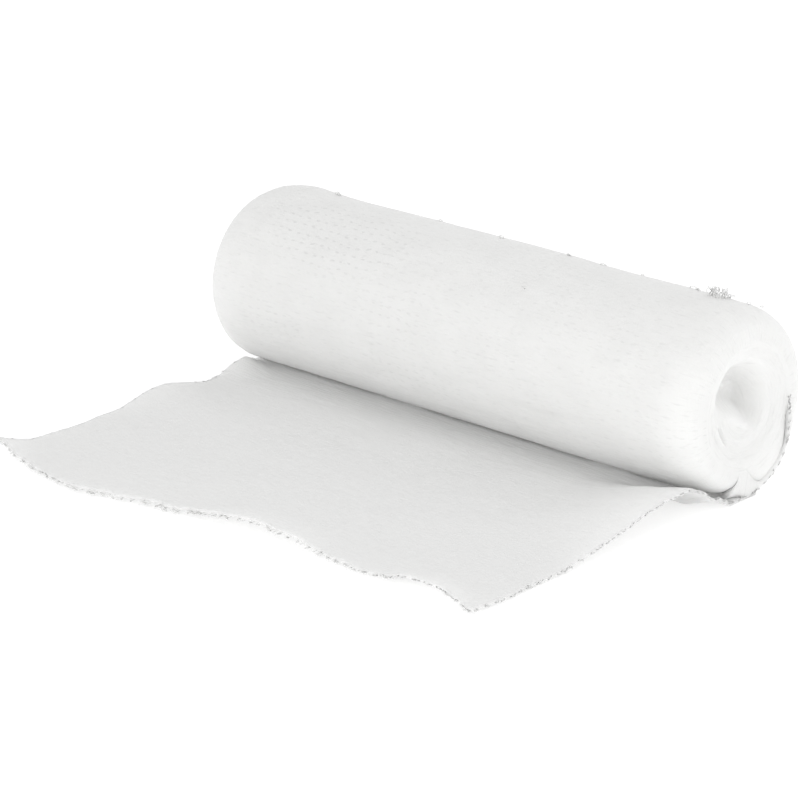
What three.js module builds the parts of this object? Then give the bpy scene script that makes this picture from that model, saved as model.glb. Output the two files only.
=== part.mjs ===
// An elastic bandage: one long strip of white crepe cloth, wound up into a roll, with its loose
// end laid out in front. Millimetres, +Z up. The roll's axis runs along X, the loose end runs
// towards -Y, and the flat spot that the roll rests on is centred under the origin.
import * as THREE from "three";
import { mergeVertices } from "three/addons/utils/BufferGeometryUtils.js";

// Driving dimensions
const STRIP_WIDTH = 100;
const ROLL_HEIGHT = 30.7;
const LOOSE_LENGTH = 61.5; // from the roll's axis to the cut edge
const CLOTH_THICKNESS = 1;
const GAP = 0.3; // between the roll and its loose end
const FLAT_SPOT_WIDTH = 6;

// How finely the shapes are faceted
const ROLL_COLUMNS = 60; // around the roll
const BARREL_ROWS = 13; // along the roll between its two rims
const FACE_ROWS = 11; // from a rim to the core
const SHEET_COLUMNS = 40; // across the loose end
const SHEET_ROWS = 25; // along the loose end

// The outermost turn ends at the front of the flat spot, where the loose end goes on from it.
const TURN_DROP = CLOTH_THICKNESS + GAP;
const SAG = FLAT_SPOT_WIDTH ** 2 / 4 / ROLL_HEIGHT;
const OUTER_RADIUS = (ROLL_HEIGHT + SAG + TURN_DROP / 2) / 2;
const AXIS_HEIGHT = OUTER_RADIUS - SAG;
const TURN_START = -Math.asin(FLAT_SPOT_WIDTH / 2 / OUTER_RADIUS);
const HALF_WIDTH = STRIP_WIDTH / 2;

// A rim from the barrel to the edge of the outermost turn, which curls in over the end. Inset is
// how far a row lies inside the outer radius, and depth how far it lies inside the end. The lip
// columns say where the row goes where the turn stands open, and follow is its share of the drop.
const RIM = [
  { inset: 0.0, depth: 5.2, lipInset: 0.1, lipDepth: 3.9, follow: 1.0 },
  { inset: 0.25, depth: 3.7, lipInset: 0.15, lipDepth: 2.2, follow: 1.0 },
  { inset: 0.7, depth: 2.4, lipInset: 0.2, lipDepth: 0.9, follow: 1.0 },
  { inset: 1.3, depth: 1.5, lipInset: 1.1, lipDepth: 0.8, follow: 1.0 },
  { inset: 2.0, depth: 0.85, lipInset: 1.4, lipDepth: 2.2, follow: 0.85 },
  { inset: 2.8, depth: 0.45, lipInset: 1.8, lipDepth: 2.8, follow: 0.6 },
  { inset: 3.6, depth: 0.2, lipInset: 3.2, lipDepth: 0.6, follow: 0.3 },
  { inset: 4.6, depth: 0.0, lipInset: 4.6, lipDepth: 0.0, follow: 0.0 },
  { inset: 5.3, depth: 0.1, lipInset: 5.3, lipDepth: 0.1, follow: 0.0 },
  { inset: 5.5, depth: 0.5, lipInset: 5.5, lipDepth: 0.5, follow: 0.0 },
];

const FACE_RADIUS = OUTER_RADIUS - RIM.at(-1).inset;

// The two ends. The turns lie a little out of line, so each end reaches past the strip's edge.
// Rim over and under stretch its rim along the roll at the top and at the floor. Deep is its
// hollow core, where the inner turns draw in, centred back and up from the axis, and the fold is
// the strip's inner end, doubled over.
const ENDS = {
  right: { side: 1, reach: 50.9, over: 1.0, under: 1.0, deep: 5.2, back: 0.9, up: 0.8, fold: 2.2 },
  left: { side: -1, reach: 51.9, over: 1.6, under: 0.7, deep: 4.6, back: -0.6, up: 0.4, fold: 1.4 },
};
const CORE_REACH = 9.4;
const FOLD = { back: -1.2, up: -2.6, reach: 3.4 };
const COIL_PITCH = 3.4; // between the bundles of turns that show as a spiral on an end
const COIL_RELIEF = 0.45;
const COIL_START_TURN = 0.58; // where round the end the spiral leaves the rim's edge
const COIL_INNER_FADE = { from: 2, to: 5 }; // the radii over which it rises out of the core
const COIL_OUTER_FADE = 1; // how wide it fades out at the rim's edge

// Where the outermost turn's right edge stands open, as angles round from straight down
const LIP = { from: -50, full: -15, fullTo: 35, to: 85 };

// Slow unevenness of the barrel: how much thicker it is along its length, and waves that also
// run round it
const THICKER = [
  { along: -50, by: 0.0 },
  { along: -34, by: -0.35 },
  { along: -10, by: -0.05 },
  { along: 22, by: 0.1 },
  { along: 50, by: -0.1 },
];
const SWELLS = [
  { height: 0.1, alongWaves: 1.0, aroundWaves: 1, shift: 0.6 },
  { height: 0.08, alongWaves: 2.3, aroundWaves: 2, shift: 2.1 },
  { height: 0.06, alongWaves: 3.6, aroundWaves: 3, shift: 4.4 },
];

// Waves of the loose end that stand off the floor. Each is highest at its x and y.
const WAVES = [
  { x: 51, y: -15.8, height: 4.6, reachX: 25, towardsRoll: 9.3, towardsCut: 27 },
  { x: -51, y: -7.6, height: 1.4, reachX: 10, towardsRoll: 4.1, towardsCut: 6.5 },
  { x: -52, y: -27.5, height: 1.5, reachX: 19, towardsRoll: 11, towardsCut: 11 },
  { x: -53, y: -64.0, height: 1.6, reachX: 12, towardsRoll: 10, towardsCut: 9 },
  { x: 5, y: -64.0, height: 1.7, reachX: 15, towardsRoll: 14, towardsCut: 9 },
  { x: 39, y: -64.5, height: 2.0, reachX: 10.5, towardsRoll: 12, towardsCut: 9 },
];

// How far the cut edge runs past the loose length, across the strip
const CUT_EDGE = [
  { across: -50, past: 0.2 },
  { across: -43, past: 2.0 },
  { across: -36, past: 3.6 },
  { across: -28, past: 4.6 },
  { across: -21, past: 3.2 },
  { across: -14, past: 1.2 },
  { across: -4, past: -0.3 },
  { across: 8, past: -1.1 },
  { across: 16, past: -1.6 },
  { across: 24, past: -0.8 },
  { across: 33, past: -0.5 },
  { across: 43, past: -1.2 },
  { across: 50, past: 0.0 },
];

// How far each side edge is drawn in, along the loose end from the roll's axis
const SIDE_EDGES = [
  { along: 3, left: -0.4, right: 0.0 },
  { along: 10, left: 0.8, right: 0.0 },
  { along: 18, left: 1.9, right: 0.2 },
  { along: 27, left: 0.8, right: 0.0 },
  { along: 38, left: 1.5, right: 0.7 },
  { along: 47, left: 2.2, right: 0.6 },
  { along: 56, left: 1.5, right: 0.2 },
  { along: 62, left: -0.2, right: 0.4 },
];

const clamp = THREE.MathUtils.clamp;
const lerp = THREE.MathUtils.lerp;
const rise = THREE.MathUtils.smoothstep;
const radians = THREE.MathUtils.degToRad;

// A table's column read as a smooth curve at a place between its rows
function readTable(rows, place, column, at) {
  const last = rows.length - 1;
  const found = rows.findIndex((row) => row[place] > at);
  const upper = clamp(found < 0 ? last : found, 1, last);
  const lower = rows[upper - 1];
  const share = rise(at, lower[place], rows[upper][place]);
  return lerp(lower[column], rows[upper][column], share);
}

// 1 at the middle of a wave, falling softly to 0 at its reach
function waveShape(offset, reach) {
  const share = clamp(offset / reach, -1, 1);
  return (1 - share * share) ** 2;
}

// How open the outermost turn's edge stands, 0 to 1, at an angle from straight down
function openness(angle) {
  const opening = rise(angle, radians(LIP.from), radians(LIP.full));
  const closing = 1 - rise(angle, radians(LIP.fullTo), radians(LIP.to));
  return opening * closing;
}

// The barrel's unevenness, which fades out over the flat spot
function swell(x, angle) {
  const along = (x / STRIP_WIDTH) * 2 * Math.PI;
  const fade = (1 - Math.cos(angle)) / 2;
  const waves = SWELLS.map(
    (row) => row.height * Math.sin(row.alongWaves * along + row.aroundWaves * angle + row.shift),
  );
  return fade * waves.reduce((sum, wave) => sum + wave, readTable(THICKER, "along", "by", x));
}

// How far the face of an end lies inside the end, at a place on it
function faceDepth(end, radius, angle) {
  const back = radius * Math.sin(angle);
  const up = -radius * Math.cos(angle);
  const hollow = waveShape(Math.hypot(back - end.back, up - end.up), CORE_REACH);
  const fold = waveShape(Math.hypot(back - FOLD.back, up - FOLD.up), FOLD.reach);
  const turns = (FACE_RADIUS - radius) / COIL_PITCH - angle / (2 * Math.PI) + COIL_START_TURN;
  const coil = 1 - Math.abs(2 * (turns - Math.floor(turns)) - 1);
  const inner = rise(radius, COIL_INNER_FADE.from, COIL_INNER_FADE.to);
  const outer = 1 - rise(radius, FACE_RADIUS - COIL_OUTER_FADE, FACE_RADIUS);
  const relief = COIL_RELIEF * coil * inner * outer;
  return RIM.at(-1).depth + end.deep * hollow - end.fold * fold + relief;
}

// The roll's rows from one core, over its rim and barrel, to the other core
function rollRows() {
  const face = Array.from({ length: FACE_ROWS }, (_, i) => ({
    radius: FACE_RADIUS * (1 - (i + 1) / FACE_ROWS),
  }));
  const [barrelStart, barrelEnd] = [ENDS.left, ENDS.right].map(
    (end) => end.side * (end.reach - RIM[0].depth * Math.max(end.over, end.under)),
  );
  const barrel = Array.from({ length: BARREL_ROWS - 1 }, (_, i) => ({
    x: lerp(barrelStart, barrelEnd, (i + 1) / BARREL_ROWS),
  }));
  const rows = [...RIM.map((rim) => ({ rim })), ...face];
  const left = rows.map((row) => ({ ...row, end: ENDS.left })).reverse();
  const right = rows.map((row) => ({ ...row, end: ENDS.right }));
  return [...left, ...barrel, ...right];
}

// Where a row of the roll lies at one column
function rollPoint(row, column) {
  const turn = (column % (ROLL_COLUMNS + 1)) / ROLL_COLUMNS;
  const angle = TURN_START + turn * 2 * Math.PI;
  const { end, rim } = row;
  let x = row.x;
  let radius = row.radius;
  if (rim) {
    const open = end === ENDS.right ? openness(angle) : 0;
    const stretch = lerp(end.under, end.over, (1 - Math.cos(angle)) / 2);
    x = end.side * (end.reach - stretch * lerp(rim.depth, rim.lipDepth, open));
    radius = OUTER_RADIUS - lerp(rim.inset, rim.lipInset, open);
    radius += rim.follow * (swell(x, angle) - TURN_DROP * turn);
  } else if (end) {
    x = end.side * (end.reach - faceDepth(end, radius, angle));
  } else {
    radius = OUTER_RADIUS - TURN_DROP * turn + swell(x, angle);
  }
  const y = radius * Math.sin(angle);
  const z = AXIS_HEIGHT - radius * Math.cos(angle);
  return new THREE.Vector3(x, y, Math.max(z, 0));
}

// How high the loose end's underside stands off the floor
function liftAt(x, y) {
  return WAVES.reduce((sum, wave) => {
    const reachY = y > wave.y ? wave.towardsRoll : wave.towardsCut;
    return sum + wave.height * waveShape(x - wave.x, wave.reachX) * waveShape(y - wave.y, reachY);
  }, 0);
}

// A place on the loose end. Across runs from -1 at its left edge to 1 at its right edge, along
// from 0 at the roll to 1 at the cut, and through is 0 on its underside and 1 on its top.
function loosePoint(across, along, through) {
  const start = FLAT_SPOT_WIDTH / 2 + GAP;
  const cut = LOOSE_LENGTH + readTable(CUT_EDGE, "across", "past", across * HALF_WIDTH);
  const reach = lerp(start, cut, along);
  const drawnIn = readTable(SIDE_EDGES, "along", across < 0 ? "left" : "right", reach);
  const x = across * (HALF_WIDTH - drawnIn * Math.abs(across));
  return new THREE.Vector3(x, -reach, liftAt(x, -reach) + through * CLOTH_THICKNESS);
}

// One closed body from a geometry whose points were moved: shared points are merged, and
// triangles that have closed up are left out.
function closedBody(geometry) {
  geometry.deleteAttribute("normal");
  geometry.deleteAttribute("uv");
  const merged = mergeVertices(geometry, 1e-4);
  const corners = merged.index.array;
  const kept = [];
  for (let i = 0; i < corners.length; i += 3) {
    const [a, b, c] = corners.subarray(i, i + 3);
    if (a !== b && b !== c && c !== a) kept.push(a, b, c);
  }
  merged.setIndex(kept);
  merged.computeVertexNormals();
  return merged;
}

// The wound turns, turned as a plain lathe shape and then drawn to their real form
function woundRoll() {
  const rows = rollRows();
  const outline = rows.map((_, i) => new THREE.Vector2(1, i));
  const geometry = new THREE.LatheGeometry(outline, ROLL_COLUMNS + 1);
  const position = geometry.attributes.position;
  for (let i = 0; i < position.count; i += 1) {
    const column = Math.floor(i / rows.length);
    const point = rollPoint(rows[i % rows.length], column);
    position.setXYZ(i, point.x, point.y, point.z);
  }
  return closedBody(geometry);
}

// The loose end, a thin box drawn out over the floor
function looseEnd() {
  const geometry = new THREE.BoxGeometry(2, 1, 1, SHEET_COLUMNS, SHEET_ROWS, 1);
  const position = geometry.attributes.position;
  for (let i = 0; i < position.count; i += 1) {
    const point = loosePoint(position.getX(i), 0.5 - position.getY(i), position.getZ(i) + 0.5);
    position.setXYZ(i, point.x, point.y, point.z);
  }
  return closedBody(geometry);
}

const crepeCloth = new THREE.MeshStandardMaterial({ color: 0xf1f1ef, roughness: 0.92, metalness: 0 });

function piece(name, geometry) {
  const mesh = new THREE.Mesh(geometry, crepeCloth.clone());
  mesh.name = name;
  return mesh;
}

const bandage = new THREE.Group();
bandage.name = "elastic_bandage_roll";
bandage.add(piece("wound_roll", woundRoll()), piece("loose_end", looseEnd()));

export default bandage;
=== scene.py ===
import math

import bmesh
import bpy
import numpy as np
from mathutils import Matrix, Vector


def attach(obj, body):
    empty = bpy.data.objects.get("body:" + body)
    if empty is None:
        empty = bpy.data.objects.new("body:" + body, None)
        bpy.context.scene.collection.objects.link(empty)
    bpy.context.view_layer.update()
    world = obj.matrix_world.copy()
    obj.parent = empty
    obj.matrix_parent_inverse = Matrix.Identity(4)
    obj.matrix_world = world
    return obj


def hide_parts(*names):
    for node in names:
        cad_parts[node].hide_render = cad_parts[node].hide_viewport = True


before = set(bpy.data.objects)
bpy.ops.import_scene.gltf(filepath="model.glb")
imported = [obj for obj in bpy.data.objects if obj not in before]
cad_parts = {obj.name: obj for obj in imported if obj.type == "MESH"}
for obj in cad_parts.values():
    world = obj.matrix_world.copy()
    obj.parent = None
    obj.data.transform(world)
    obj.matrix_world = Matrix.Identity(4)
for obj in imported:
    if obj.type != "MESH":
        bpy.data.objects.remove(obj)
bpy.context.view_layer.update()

bl_info = {
    "name": "Elastic bandage roll",
    "version": (1, 0, 0),
    "blender": (4, 5, 0),
    "location": "View3D > Sidebar > Bandage",
    "description": "A strip of white crepe bandage, wound into a roll with its loose end laid out",
    "category": "Object",
}

MM = 0.001
BODY = "root"


# Tables


def table(columns, *rows):
    """A short table, as one array for each of its named columns."""
    return dict(zip(columns.split(), np.array(rows, float).T))


# A rim of the outermost turn, from the barrel to the strip's edge, in mm. Inset is how far a row
# lies inside the outer radius, depth how far inside the end. The open columns hold where the
# edge stands away from the roll, and follow is the row's share of the turn's drop.
RIM = table(
    "inset depth open_inset open_depth follow",
    (0.0, 5.2, 0.10, 5.2, 1.0),
    (0.25, 3.7, 0.10, 4.5, 1.0),
    (0.7, 2.4, 0.15, 3.8, 1.0),
    (1.3, 1.5, 0.15, 3.1, 1.0),
    (2.0, 0.85, 0.12, 2.5, 0.85),
    (2.8, 0.45, 0.10, 1.9, 0.6),
    (3.7, 0.2, 0.10, 1.4, 0.3),
    (4.6, 0.08, 0.20, 1.1, 0.1),
    (5.5, 0.05, 0.40, 0.9, 0.0),
)
# The turns beneath it, from the groove behind its open edge to where the flat of the end begins
GROOVE = table(
    "inset depth follow",
    (0.80, 1.75, 1.0),
    (1.10, 1.38, 1.0),
    (1.70, 1.00, 0.8),
    (2.60, 0.68, 0.5),
    (4.00, 0.30, 0.2),
    (5.50, 0.10, 0.0),
)

# The two ends, in mm. Reach is how far each goes from the middle, and over and under stretch its
# rim along the roll at the top and at the floor.
ENDS = {
    "right": dict(side=1, reach=50.9, over=1.0, under=1.0),
    "left": dict(side=-1, reach=51.9, over=1.6, under=0.7),
}
# The hollow in each end, from its mouth to its foot, and the strip's doubled inner end that
# fills a part of it, with its length, width, turn in degrees and how far it comes up
HOLLOWS = {
    "right": dict(back=-1.2, up=1.0, mouth=7.3, foot=3.0, deep=4.1, slope=0.12),
    "left": dict(back=-0.6, up=0.4, mouth=7.8, foot=3.4, deep=3.2, slope=-0.08),
}
INNER_ENDS = {
    "right": dict(back=-4.0, up=-4.4, length=10.8, width=5.7, turn=-25, fill=0.97),
    "left": dict(back=1.6, up=-3.0, length=5.6, width=3.4, turn=25, fill=0.7),
}
# Folds of the inner end and slits beside them on the right end, with a faint curved line above
# the hollow, as heights over the face in mm. Each runs from one place to another.
FACE_FOLDS = table(
    "back up to_back to_up width height",
    (-8.3, 0.6, -7.5, -2.0, 0.34, 0.42),
    (-7.5, -2.0, -5.6, -4.7, 0.34, 0.42),
    (-6.8, -1.9, -4.9, -4.5, 0.32, -0.95),
    (-3.2, 3.9, -1.2, 2.8, 0.45, 0.5),
    (-4.8, 10.9, -2.9, 11.6, 0.45, -0.08),
    (-2.9, 11.6, 1.5, 11.3, 0.45, -0.07),
)

# Where the outermost turn's right edge stands open, in degrees round from straight down, and
# how the edge and the groove behind it open after the step where the turn begins, in turns
LIP = dict(
    start=-50,
    full=-15,
    full_to=35,
    end=85,
    after_step=(0.0, 0.05),
    groove_after_step=(0.02, 0.10),
)

# Slow unevenness of the barrel, in mm: where it is thicker or thinner along the roll, and waves
# with how many there are along it, each half wave as one, and round it
THICKER = table("along by", (-50, 0.0), (-34, -0.35), (-10, -0.05), (22, 0.1), (50, -0.1))
SWELLS = table(
    "height along_waves around_waves shift",
    (0.10, 1.0, 1, 0.6),
    (0.08, 2.3, 2, 2.1),
    (0.06, 3.6, 3, 4.4),
)

# Waves of the loose end that stand off the floor, in mm
WAVES = table(
    "x y height reach_x towards_roll towards_cut",
    (51, -15.8, 4.6, 25, 9.3, 27),
    (48, -10.6, 0.7, 24, 3.6, 6),
    (51.5, -6.0, 1.7, 7.5, 3.6, 5.5),
    (52, -9.5, 1.2, 8, 4, 6),
    (-51, -7.6, 1.4, 10, 4.1, 6.5),
    (-52, -27.5, 1.5, 19, 11, 11),
    (-53, -64.0, 1.6, 12, 10, 9),
    (5, -64.0, 1.7, 15, 14, 9),
    (39, -64.5, 2.0, 10.5, 12, 9),
)
# How far the cut edge runs past the loose length, and how far the side edges are drawn in, in mm
CUT_EDGE = table(
    "across past",
    (-50, 0.2), (-43, 2.0), (-36, 3.6), (-28, 4.6), (-21, 3.2), (-14, 1.2), (-4, -0.3),
    (8, -1.1), (16, -1.6), (24, -0.8), (33, -0.5), (43, -1.2), (50, 0.0),
)
SIDE_EDGES = table(
    "along left right",
    (3, -0.4, 0.0), (10, 0.8, 0.0), (18, 1.9, 0.2), (27, 0.8, 0.0),
    (38, 1.5, 0.7), (47, 2.2, 0.6), (56, 1.5, 0.2), (62, -0.2, 0.4),
)

# Soft creases pressed into the barrel, from one place to another. Round is in degrees from
# straight down, and the front of the roll is from 360 down to 180.
CREASES = table(
    "x round to_x to_round width depth",
    (5.9, 281.7, 11.5, 284.2, 0.8, 0.16),
    (16.4, 285.6, 32.2, 285.2, 1.0, 0.20),
    (31.7, 265.1, 36.2, 265.7, 0.7, 0.14),
    (21.0, 262.2, 24.6, 263.8, 0.7, 0.14),
    (-44.5, 280.0, -40.1, 286.5, 1.0, 0.22),
    (-39.0, 287.0, -30.0, 290.0, 0.9, 0.10),
    (38.0, 279.0, 44.0, 276.5, 0.9, 0.12),
    (-22.0, 296.0, -9.0, 294.0, 1.1, 0.12),
    (-4.0, 301.0, 12.0, 303.0, 1.2, 0.12),
    (-46.0, 96.0, -30.0, 99.0, 1.2, 0.18),
    (-12.0, 121.0, 4.0, 118.0, 1.2, 0.16),
    (20.0, 78.0, 40.0, 84.0, 1.2, 0.18),
)

# Noise, as rows of its lumps' sizes one way and the other, its height and its layer. An endless
# lump doesn't change that way. Sizes and heights are in mm, apart from the heights of the crepe
# and the cloth, which are shares of the crepe height.
CREPE_RIDGES = ((4.2, 0.75, 1.0, 7), (1.9, 0.6, 0.7, 8))
CREPE_PATCHES = ((17, 13, 0.35, 9),)
CREPE_SHARE = 0.65
CLOTH_LUMPS = ((9, 7, 1.1, 10), (4, 3.2, 0.66, 12))
RAISED_LUMPS = ((14, 11, 0.30, 14),)
CURL_LUMPS = ((3.1, math.inf, 0.25, 15),)
SIDE_FRAY = ((1.1, math.inf, 0.12, 5),)
FACE_LUMPS = ((2.6, 2.6, 0.09, 24), (1.1, 1.1, 0.05, 23))
# The same with sizes as shares of half the strip's width, and as shares of a turn. The clear
# valleys between turns have heights in shares of their depth.
CUT_FRAY = ((1 / 42, math.inf, 0.26, 3), (1 / 95, math.inf, 0.2, 4))
TURN_PROUD = ((1 / 2.5, math.inf, 0.05, 22),)
TURN_CLEAR = ((1 / 5, math.inf, 0.5, 21),)
# How far the loose cloth runs on under the roll past its axis, as a share of the flat spot
RUN_ON = 0.55


# The form


def lerp(a, b, share):
    return a + (b - a) * share


def rise(at, low, high):
    """0 below low, 1 above high, and a soft step between them."""
    share = np.clip((at - low) / (high - low), 0, 1)
    return share * share * (3 - 2 * share)


def read_table(rows, place, column, at):
    """A table's column as a soft curve through its rows."""
    places, values = rows[place], rows[column]
    upper = np.clip(np.searchsorted(places, at, side="right"), 1, len(places) - 1)
    share = rise(at, places[upper - 1], places[upper])
    return lerp(values[upper - 1], values[upper], share)


def read_rows(values, at):
    """A column as a smooth curve through its rows, read at row numbers with fractions."""
    row = np.clip(np.floor(at).astype(int), 0, len(values) - 2)
    t = at - row
    longer = np.concatenate([[2 * values[0] - values[1]], values, [2 * values[-1] - values[-2]]])
    a, b, c, d = (longer[row + k] for k in range(4))
    return b + 0.5 * t * (c - a + t * (2 * a - 5 * b + 4 * c - d + t * (3 * (b - c) + d - a)))


def wave_shape(offset, reach):
    """1 at the middle of a wave, falling softly to 0 at its reach."""
    share = np.clip(offset / reach, -1, 1)
    return (1 - share * share) ** 2


# A fold runs past both its places by a share of its length, and tapers from a place inside
# each. It bows to its sides by a share of its width, about once in its length.
FOLD = dict(past=0.25, first_full=0.2, last_full=0.75, bow=0.5, bends=3.1)


def fold_shape(x, y, ends, width):
    """1 along the middle of a soft fold from one place to another, tapering out at its ends."""
    ax, ay, bx, by = ends
    along_x, along_y = bx - ax, by - ay
    first, last = -FOLD["past"], 1 + FOLD["past"]
    share = ((x - ax) * along_x + (y - ay) * along_y) / (along_x**2 + along_y**2)
    share = np.clip(share, first, last)
    bow = FOLD["bow"] * width * np.sin(FOLD["bends"] * share + ax)
    away = np.hypot(x - ax - share * along_x, y - ay - share * along_y + bow) / width
    taper = rise(share, first, FOLD["first_full"]) * (1 - rise(share, FOLD["last_full"], last))
    return taper * np.exp(-(away**2))


def folds(rows, x, y):
    """The sum of a table's folds. Its rows are two places, a width and how high or deep it is."""
    total = np.zeros(np.broadcast(x, y).shape)
    for *ends, width, height in zip(*rows.values()):
        total += height * fold_shape(x, y, ends, width)
    return total


LATTICE = np.random.RandomState(31).uniform(-1, 1, (256, 256))


def noise(a, b, layer):
    """Smooth noise from -1 to 1, one lump to each unit of a and b. Layers are unlike."""
    a, b = a + 17.3 * layer, b + 41.9 * layer
    i, j = np.floor(a).astype(int), np.floor(b).astype(int)
    s, t = rise(a - i, 0, 1), rise(b - j, 0, 1)
    low = lerp(LATTICE[i & 255, j & 255], LATTICE[(i + 1) & 255, j & 255], s)
    high = lerp(LATTICE[i & 255, (j + 1) & 255], LATTICE[(i + 1) & 255, (j + 1) & 255], s)
    return lerp(low, high, t)


def layered(rows, a, b):
    """The sum of noise of several sizes, from rows such as CREPE_RIDGES."""
    return sum(
        height * noise(a / size_a, b / size_b, layer) for size_a, size_b, height, layer in rows
    )


class Strip:
    """The sizes of the strip and its roll in mm, and the form that they give."""

    def __init__(self, sizes):
        self.half_width = sizes.strip_width / MM / 2
        self.thickness = sizes.cloth_thickness / MM
        self.flat = sizes.flat_spot / MM
        self.loose_length = sizes.loose_length / MM
        self.loose_start = -RUN_ON * self.flat
        self.drop = sizes.turn_drop / MM
        self.turn_pitch = sizes.turn_pitch / MM
        self.crepe = sizes.crepe_height / MM
        height = sizes.roll_height / MM
        sag = self.flat**2 / 4 / height
        self.radius = (height + sag + self.drop / 2) / 2
        self.axis_height = self.radius - sag
        self.start = -math.asin(self.flat / 2 / self.radius)
        self.face_radius = self.radius - RIM["inset"][-1]

    def openness(self, angle):
        """How open the outermost turn's right edge stands, from 0 to 1."""
        opening = rise(angle, math.radians(LIP["start"]), math.radians(LIP["full"]))
        closing = rise(angle, math.radians(LIP["full_to"]), math.radians(LIP["end"]))
        return opening * (1 - closing)

    def swell(self, x, angle):
        """The barrel's unevenness, which fades out over the flat spot."""
        along = x / self.half_width * math.pi
        waves = read_table(THICKER, "along", "by", x)
        for height, a, b, shift in zip(*SWELLS.values()):
            waves = waves + height * np.sin(a * along + b * angle + shift)
        return waves * (1 - np.cos(angle)) / 2

    def at(self, x, radius, angle):
        """Points from places along the roll, out from its axis and round it."""
        z = self.axis_height - radius * np.cos(angle)
        return np.stack(np.broadcast_arrays(x, radius * np.sin(angle), np.maximum(z, 0)), -1)

    def on_end(self, end, inset, depth, follow, angle, turn):
        """Points on an end, at insets within the outer radius and depths inside the end."""
        stretch = lerp(end["under"], end["over"], (1 - np.cos(angle)) / 2)
        x = end["side"] * (end["reach"] - stretch * depth)
        radius = self.radius - inset + follow * (self.swell(x, angle) - self.drop * turn)
        return self.at(x, radius, angle)

    def rim(self, end, row, angle, turn):
        """Points on the outermost turn's rim at row numbers with fractions."""
        is_open = self.openness(angle) * rise(turn, *LIP["after_step"]) * (end["side"] > 0)
        inset, depth, open_inset, open_depth, follow = (
            read_rows(values, row) for values in RIM.values()
        )
        inset, depth = lerp(inset, open_inset, is_open), lerp(depth, open_depth, is_open)
        follow = lerp(np.clip(follow, 0, 1), 1, is_open)
        return self.on_end(end, inset, depth, follow, angle, turn)

    def barrel(self, x, angle, turn):
        """Points on the barrel, with the creases pressed into it."""
        radius = self.radius - self.drop * turn + self.swell(x, angle)
        return self.at(x, radius - self.crease(x, angle), angle)

    def crease(self, x, angle):
        """How deep the creases are pressed in at places on the barrel."""
        places = {
            column: np.radians(CREASES[column]) * self.radius for column in ("round", "to_round")
        }
        return folds(CREASES | places, x, angle * self.radius)

    def lift(self, x, y):
        """How high the loose end's underside stands off the floor."""
        total = np.zeros(np.broadcast(x, y).shape)
        for wx, wy, height, reach_x, to_roll, to_cut in zip(*WAVES.values()):
            reach_y = np.where(y > wy, to_roll, to_cut)
            total += height * wave_shape(x - wx, reach_x) * wave_shape(y - wy, reach_y)
        return total

    def loose(self, across, along):
        """The loose end's underside. Across is -1 to 1, along 0 at the roll to 1 at the cut."""
        cut = self.loose_length
        cut = cut + read_table(CUT_EDGE, "across", "past", across * self.half_width)
        reach = lerp(self.loose_start, cut + layered(CUT_FRAY, across, across), along)
        left = read_table(SIDE_EDGES, "along", "left", reach)
        right = read_table(SIDE_EDGES, "along", "right", reach)
        drawn_in = np.where(across < 0, left, right) + layered(SIDE_FRAY, reach, across)
        x = across * (self.half_width - drawn_in * np.abs(across))
        return np.stack([x, -reach, self.lift(x, -reach)], -1)

    def relief(self, u, v):
        """Crepe ridges and slow lumps of the cloth, from places across and along the strip."""
        creped = CREPE_SHARE + layered(CREPE_PATCHES, u, v)
        return self.crepe * (layered(CREPE_RIDGES, u, v) * creped + layered(CLOTH_LUMPS, u, v))


# Meshes


def outward_normals(points):
    """Unit normals of a grid of points round the roll, which point away from its middle."""
    down = np.gradient(points, axis=0)
    along = np.gradient(points, axis=1)
    normals = np.cross(along, down)
    normals /= np.maximum(np.linalg.norm(normals, axis=-1, keepdims=True), 1e-9)
    middle = points.mean(axis=(0, 1))
    return normals * np.sign(np.sum(normals * (points - middle)))


def finish_piece(name, mesh, *materials):
    """A finished piece, riding on the part's one body."""
    for material in materials:
        mesh.materials.append(material)
    mesh.polygons.foreach_set("use_smooth", [True] * len(mesh.polygons))
    piece = bpy.data.objects.new(name, mesh)
    bpy.context.scene.collection.objects.link(piece)
    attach(piece, BODY)
    return piece


def join_up(mesh, within):
    """Joins a mesh's points that meet and turns its faces outwards."""
    bm = bmesh.new()
    bm.from_mesh(mesh)
    bmesh.ops.remove_doubles(bm, verts=bm.verts, dist=within)
    bmesh.ops.dissolve_degenerate(bm, edges=bm.edges, dist=1e-8)
    bmesh.ops.recalc_face_normals(bm, faces=bm.faces)
    bm.to_mesh(mesh)
    bm.free()


def flat_grid(name, columns, rows, half):
    """A flat square mesh of columns and rows of faces, which goes half its width each way."""
    bm = bmesh.new()
    bmesh.ops.create_grid(bm, x_segments=columns, y_segments=rows, size=half)
    mesh = bpy.data.meshes.new(name)
    bm.to_mesh(mesh)
    bm.free()
    return mesh


def grid_mesh(name, points, strip_map, materials=None):
    """A mesh from a grid of points in mm, and where each lies across and along the strip.

    Materials are each row's number of its material in the piece.
    """
    rows, columns = points.shape[:2]
    mesh = flat_grid(name, columns - 1, rows - 1, 1)
    place = np.empty(len(mesh.vertices) * 3)
    mesh.vertices.foreach_get("co", place)
    place = (place.reshape(-1, 3)[:, :2] + 1) / 2
    column = np.rint(place[:, 0] * (columns - 1)).astype(int)
    row = np.rint(place[:, 1] * (rows - 1)).astype(int)
    mesh.vertices.foreach_set("co", (points[row, column] * MM).ravel())
    corner = np.empty(len(mesh.loops), int)
    mesh.loops.foreach_get("vertex_index", corner)
    layer = mesh.uv_layers.new(name="strip")
    layer.data.foreach_set("uv", (strip_map[row, column][corner] * MM).ravel())
    if materials is not None:
        first_row = row[corner].reshape(-1, 4).min(axis=1)
        mesh.polygons.foreach_set("material_index", materials[first_row])
    join_up(mesh, 1e-7)
    return mesh


# Materials


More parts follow.
